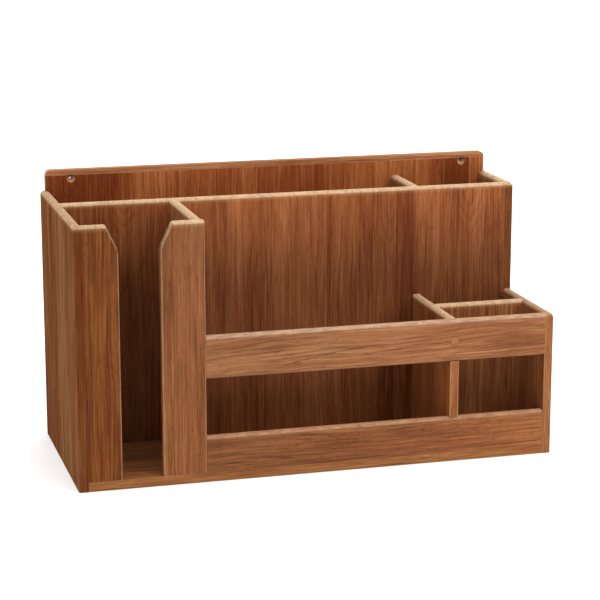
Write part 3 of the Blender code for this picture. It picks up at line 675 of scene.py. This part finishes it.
# The boards as they are rounded, before joints and holes are cut.
CORE = {
    "left": lambda: soften(block((0, 0, 0), (T - G, D, SIDE_H)), side_rule),
    "right": lambda: soften(
        prism([(0, 0), (D, 0), (D, SIDE_H), (PART_Y, SIDE_H), (PART_Y, LOW_H), (0, LOW_H)], "X", W - T + G, W), right_rule),
    "part": lambda: soften(
        block((T - COPE, PART_Y + G, T + G), (W - T + COPE, PART_Y + T - G, SIDE_H)), top_along(0, SIDE_H)),
    "stile": lambda: soften(
        prism([(SLOT_X1, T + G), (STILE_X1, T + G), (STILE_X1, SIDE_H), (SLOT_X1 + CHAMFER_W, SIDE_H), (SLOT_X1, SIDE_H - CHAMFER_H)], "Y", 0, T - G),
        slot_rule(SLOT_X1, STILE_X1)),
    "rail": lambda: soften(
        block((STILE_X1 + G, 0, RAIL_HI_Z0), (W - T + COPE, T - G, LOW_H)),
        lambda m, d: 1.0 if d[0] > 0.9 and (close(m.z, LOW_H) or (close(m.z, RAIL_HI_Z0) and m.y < 1)) else (0.5 if d[0] > 0.9 else None)),
    "divider": lambda: soften(
        prism([
            (T + G, T + G), (PART_Y - G, T + G), (PART_Y - G, LOW_H), (T - COPE, LOW_H),
            (T - COPE, RAIL_HI_Z0 - G), (0, RAIL_HI_Z0 - G), (0, RAIL_LO_Z1 + G), (T + G, RAIL_LO_Z1 + G),
        ], "X", DIV_X0, DIV_X0 + T),
        lambda m, d: 1.0 if close(m.z, LOW_H) and d[1] > 0.9 else (0.5 if close(m.y, 0) and d[2] > 0.9 else None)),
}


def cope(ob, key, shift=(0.0, 0.0, 0.01)):
    """Cuts a board where it meets the rounded board key, a hair clear of shared planes."""
    tool = CORE[key]()
    tool.data.transform(Matrix.Translation(Vector(shift) * MM))
    boolean(ob, tool)
    return tool


# left side
left = CORE["left"]()
boolean(left, block((RABBET - G, D - T - G, -5), (T + 5, D + 5, SIDE_H + 5)))
boolean(left, block((T - HOUSING - G, PART_Y - G, T - G), (T + 5, PART_Y + T + G, SIDE_H - HOUSING_STOP + G)))
board(left, "left_side")

# right side: tall behind, low in front
right = CORE["right"]()
boolean(right, block((W - T - 5, D - T - G, -5), (W - RABBET + G, D + 5, SIDE_H + 5)))
boolean(right, block((W - T - 5, PART_Y + HOUSING_BACK - G, T - G), (W - T + HOUSING + G, PART_Y + T + G, SIDE_H - HOUSING_STOP + G)))
for z0, z1 in ((RAIL_HI_Z0, LOW_H), (T, RAIL_LO_Z1)):
    boolean(right, block((W - T - 5, TENON_Y0 - G, z0 + TENON_IN - G), (W - T + TENON_L + G, TENON_Y0 + TENON_T + G, z1 - TENON_IN + G)))
board(right, "right_side")

# bottom board
bottom = block((T + G, 0, 0), (W - T - G, D - T - G, T - G))
soften(bottom, lambda m, d: 0.25 if close(m.z, 0) and close(m.y, 0) else None)
for c in back_pilots[:3] + base_pilots:
    boolean(bottom, c)
board(bottom, "bottom_board")

# back panel and its edging
panel = block((RABBET + G, D - T + 2 * G, 0), (W - RABBET - G, D, BACK_H - 5 - G))
soften(panel, lambda m, d: None)
er = 4.6
arc = [(er * (1 - math.cos(a)), BACK_H - er * (1 - math.sin(a))) for a in (math.radians(v) for v in range(0, 91, 9))]
lx, rx = RABBET + G, W - RABBET - G
outline = [(lx, BACK_H - 5 + G)] + [(lx + u, v) for u, v in arc] + [(rx - u, v) for u, v in reversed(arc)] + [(rx, BACK_H - 5 + G)]
edging = prism(outline, "Y", D - T + 2 * G, D)
soften(edging, lambda m, d: (0.25 if d[1] < 0.5 and not close(m.z, BACK_H - 5, 0.3) else 0.0))
for x in (29.0, W - 29.0):
    c = drill((x, D - T, 256.6), (0, 1, 0), [(-0.6, 4.1 + 0.6), (3.0, 1.1), (T + 3, 1.1)])
    boolean(panel, c)
    boolean(edging, c)
for c in back_pilots:
    boolean(panel, c)
board(panel, "back_panel")
board(edging, "back_edging")

# partition: housed in both sides, its top coped to theirs
part = CORE["part"]()
for key, x0, x1, y0 in (("left", T - HOUSING + G, T + G, PART_Y - 5), ("right", W - T - G, W - T + HOUSING - G, PART_Y + HOUSING_BACK)):
    side = cope(part, key)
    boolean(side, block((x0, y0, -5), (x1, PART_Y + T + 5, SIDE_H - HOUSING_STOP - G)))
for c in base_pilots[:3]:
    boolean(part, c)
board(part, "partition")

# slotted front
front = prism([(T - COPE, T + G), (SLOT_X0, T + G), (SLOT_X0, SIDE_H - CHAMFER_H), (SLOT_X0 - CHAMFER_W, SIDE_H), (T - COPE, SIDE_H)], "Y", 0, T - G)
soften(front, slot_rule(SLOT_X0))
cope(front, "left")
board(front, "slot_front")

stile = CORE["stile"]()
for z0, z1 in ((RAIL_HI_Z0, LOW_H), (T, RAIL_LO_Z1)):
    boolean(stile, block((STILE_X1 - TENON_L - G, TENON_Y0 - G, z0 + TENON_IN - G), (STILE_X1 + 5, TENON_Y0 + TENON_T + G, z1 - TENON_IN + G)))
board(stile, "slot_stile")

wall = block((STILE_X1 - T, T - COPE, T + G), (STILE_X1, PART_Y + COPE, SIDE_H))
soften(wall, top_along(1, SIDE_H))
cope(wall, "stile", (0.04, 0.0, 0.01))
cope(wall, "part")
boolean(wall, base_pilots[3])
board(wall, "slot_bay_wall")

# rails
low = block((STILE_X1 + G, 0, T + G), (W - T - G, T - G, RAIL_LO_Z1))
soften(low, top_along(0, RAIL_LO_Z1))
high = CORE["rail"]()
cope(high, "right")
for rail, name, z0, z1, plug_z in ((high, "upper_rail", RAIL_HI_Z0, LOW_H, PLUG_Z[1]), (low, "lower_rail", T + G, RAIL_LO_Z1, PLUG_Z[0])):
    boolean(rail, block((STILE_X1 - TENON_L + G, TENON_Y0 + G, z0 + TENON_IN + G), (W - T + TENON_L - G, TENON_Y0 + TENON_T - G, z1 - TENON_IN - G)), "UNION")
    seat = PLUG_L + 2 * CLEAR
    boolean(rail, drill((PLUG_X, 0, plug_z), (0, 1, 0), [
        (-2, PLUG_D / 2 + G), (seat, PLUG_D / 2 + G), (seat + 0.001, HEAD_D / 2 + CLEAR),
        (seat + HEAD_L, SCREW_D / 2 + CLEAR), (40, SCREW_D / 2 + CLEAR),
    ]))
    board(rail, name)

# utensil divider, notched over the rails
divider = CORE["divider"]()
cope(divider, "rail")
for z in PLUG_Z:
    boolean(divider, pilot((PLUG_X, PLUG_L + CLEAR, z), (0, 1, 0), 0.0))
boolean(divider, base_pilots[4])
board(divider, "utensil_divider")

cross = block((DIV_X0 + T - COPE, CROSS_Y, T + G), (W - T + COPE, CROSS_Y + T, LOW_H))
soften(cross, top_along(0, LOW_H))
cope(cross, "divider")
cope(cross, "right")
board(cross, "utensil_cross_board")

rear = block((DIV_X0, PART_Y + T - COPE, T + G), (DIV_X0 + T, D - T - G, SIDE_H))
soften(rear, top_along(1, SIDE_H))
cope(rear, "part")
for c in back_pilots[3:]:
    boolean(rear, c)
board(rear, "rear_divider")

# plugs: a shade proud, their rims eased
for name, z in zip(("lower_rail_plug", "upper_rail_plug"), PLUG_Z):
    r = PLUG_D / 2 - G
    plug = drill((PLUG_X, 0, z), (0, 1, 0), [(0.0, r - 0.45), (0.04, r - 0.25), (0.14, r - 0.08), (0.34, r), (PLUG_L - 0.4, r), (PLUG_L, r - 0.4)], 64)
    board(plug, name)


# ---------------------------------------------------------------------------
# Screws
# ---------------------------------------------------------------------------
def screw_mesh():
    """Countersunk wood screw along +Z, its head's face at z = 0, with a cut thread."""
    segs, pitch = 32, 1.4
    rh, rs, core = HEAD_D / 2, SCREW_D / 2, 1.08
    zs = [0.0, 0.06, 0.2, 0.34] + [0.34 + (HEAD_L - 0.24) * k / 4 for k in range(1, 5)]
    smooth_to = 7.5
    zs += [2.4, 4.0, 6.0, smooth_to]
    step = pitch / 8
    z = smooth_to + step
    while z < SCREW_L - 0.05:
        zs.append(z)
        z += step

    def radius(z, th):
        if z <= 0.0:
            return rh - 0.14
        if z < 0.2:
            return rh - 0.03
        if z <= 0.34:
            return rh
        if z <= HEAD_L + 0.1:
            return rh + (rs - rh) * (z - 0.34) / (HEAD_L + 0.1 - 0.34)
        if z < smooth_to:
            return rs - 0.12
        u = (z / pitch - th / (2 * math.pi)) % 1.0
        ridge = max(0.0, 1.0 - abs(u - 0.5) / 0.22)
        grow = min(1.0, (z - smooth_to) / 1.2)
        tip = max(0.0, min(1.0, (SCREW_L - z) / 5.0)) ** 0.7
        base = core + (rs - 0.12 - core) * (1 - grow)
        return max(0.06, base * tip + (rs - core) * ridge * grow * (0.25 + 0.75 * tip) * (1 if tip > 0.12 else tip / 0.12))

    bm = bmesh.new()
    rings = []
    for z in zs:
        rings.append([bm.verts.new((radius(z, 2 * math.pi * i / segs) * MM * math.cos(2 * math.pi * i / segs), radius(z, 2 * math.pi * i / segs) * MM * math.sin(2 * math.pi * i / segs), z * MM)) for i in range(segs)])
    for one, two in zip(rings[:-1], rings[1:]):
        for i in range(segs):
            bm.faces.new((one[i], one[(i + 1) % segs], two[(i + 1) % segs], two[i]))
    tip = bm.verts.new((0, 0, SCREW_L * MM))
    for i in range(segs):
        bm.faces.new((rings[-1][i], rings[-1][(i + 1) % segs], tip))
    bm.faces.new(rings[0])
    body = from_bmesh(bm, "screw_body")
    bm = bmesh.new()
    for turn in (0.0, math.pi / 2):
        geo = bmesh.ops.create_cube(bm, size=1)
        for v in geo["verts"]:
            low = v.co.z > 0
            v.co.x *= (1.5 if low else 4.3) * MM
            v.co.y *= (0.5 if low else 0.85) * MM
            v.co.z = 1.5 * MM if low else -0.4 * MM
        bmesh.ops.rotate(bm, verts=geo["verts"], cent=(0, 0, 0), matrix=Matrix.Rotation(turn, 3, "Z"))
    recess = from_bmesh(bm, "screw_recess")
    boolean(body, recess)
    body.modifiers[-1].use_self = True
    bpy.context.view_layer.update()
    me = bpy.data.meshes.new_from_object(body.evaluated_get(bpy.context.evaluated_depsgraph_get()))
    me.name = "wood_screw"
    me.shade_smooth()
    me.set_sharp_from_angle(angle=math.radians(35))
    return me


SCREW = screw_mesh()
SCREW.materials.clear()
SCREW.materials.append(steel())


def put_screws(stem, places, direction, turns):
    for i, p in enumerate(places):
        ob = bpy.data.objects.new("%s_%d_steel" % (stem, i + 1), SCREW)
        ob.rotation_mode = "QUATERNION"
        ob.rotation_quaternion = Vector(direction).to_track_quat("Z", "Y") @ Matrix.Rotation(turns[i % len(turns)], 3, "Z").to_quaternion()
        ob.location = pt(*p)
        bpy.context.scene.collection.objects.link(ob)
        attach(ob, "root")
        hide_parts("%s_%d" % (stem, i + 1))


put_screws("rail_screw", RAIL_AT, (0, 1, 0), (0.3, 1.1))
put_screws("back_screw", BACK_AT, (0, -1, 0), (0.2, 0.9, 1.3, 0.55, 0.05))
put_screws("base_screw", BASE_AT, (0, 0, 1), (0.7, 0.1, 1.2, 0.4, 0.95))

for ob in list(scratch.objects):
    bpy.data.objects.remove(ob, do_unlink=True)
bpy.data.collections.remove(scratch)


# ---------------------------------------------------------------------------
# Floor, light, camera
# ---------------------------------------------------------------------------
def floor_material():
    t = Tree("floor_paper")
    p = t.add("ShaderNodeTexCoord").outputs["Object"]
    soft = t.noise(t.vec("SCALE", p, scale=2.5), 3, 0.5)
    fine = t.noise(t.vec("SCALE", p, scale=420.0), 2, 0.5)
    shader = t.add("ShaderNodeBsdfPrincipled")
    t.put(shader.inputs["Base Color"], t.ramp(soft, [(0.3, (0.93, 0.93, 0.925)), (0.7, (0.95, 0.95, 0.945))]))
    t.put(shader.inputs["Roughness"], t.math("MULTIPLY_ADD", fine, 0.1, 0.75))
    out = t.add("ShaderNodeOutputMaterial")
    t.put(out.inputs["Surface"], shader.outputs["BSDF"])
    return t.mat


bm = bmesh.new()
bmesh.ops.create_grid(bm, x_segments=4, y_segments=4, size=9.0)
me = bpy.data.meshes.new("floor")
bm.to_mesh(me)
bm.free()
floor = bpy.data.objects.new("floor", me)
bpy.context.scene.collection.objects.link(floor)
me.materials.append(floor_material())

world = bpy.data.worlds.new("studio")
world.use_nodes = True
world.node_tree.nodes["Background"].inputs["Color"].default_value = (1.0, 1.0, 1.0, 1.0)
world.node_tree.nodes["Background"].inputs["Strength"].default_value = 1.0
bpy.context.scene.world = world


def softbox(name, at, target, size, power, colour=(1.0, 1.0, 1.0)):
    la = bpy.data.lights.new(name, "AREA")
    la.shape = "RECTANGLE"
    la.size, la.size_y = size
    la.energy = power
    la.color = colour
    ob = bpy.data.objects.new(name, la)
    ob.location = at
    ob.rotation_mode = "QUATERNION"
    ob.rotation_quaternion = (Vector(target) - Vector(at)).to_track_quat("-Z", "Y")
    bpy.context.scene.collection.objects.link(ob)


softbox("ceiling", (0.0, 0.2, 3.2), (0.0, 0.2, 0.0), (13.0, 13.0), 430.0)
softbox("key", (1.25, -1.7, 1.7), (0.0, 0.0, 0.12), (1.1, 1.1), 22.0)

cam = bpy.data.cameras.new("camera")
cam.sensor_width = 36.0
cam.lens = 120.535
cam.dof.use_dof = False
cam.clip_start, cam.clip_end = 0.05, 50.0
camera = bpy.data.objects.new("camera", cam)
camera.location = (-0.499047, -1.814387, 0.582957)
camera.rotation_euler = (math.pi / 2 - 0.2295, 0.0, -0.2712)
bpy.context.scene.collection.objects.link(camera)
bpy.context.scene.camera = camera

bpy.context.scene.view_settings.view_transform = "Standard"
bpy.context.scene.view_settings.look = "None"
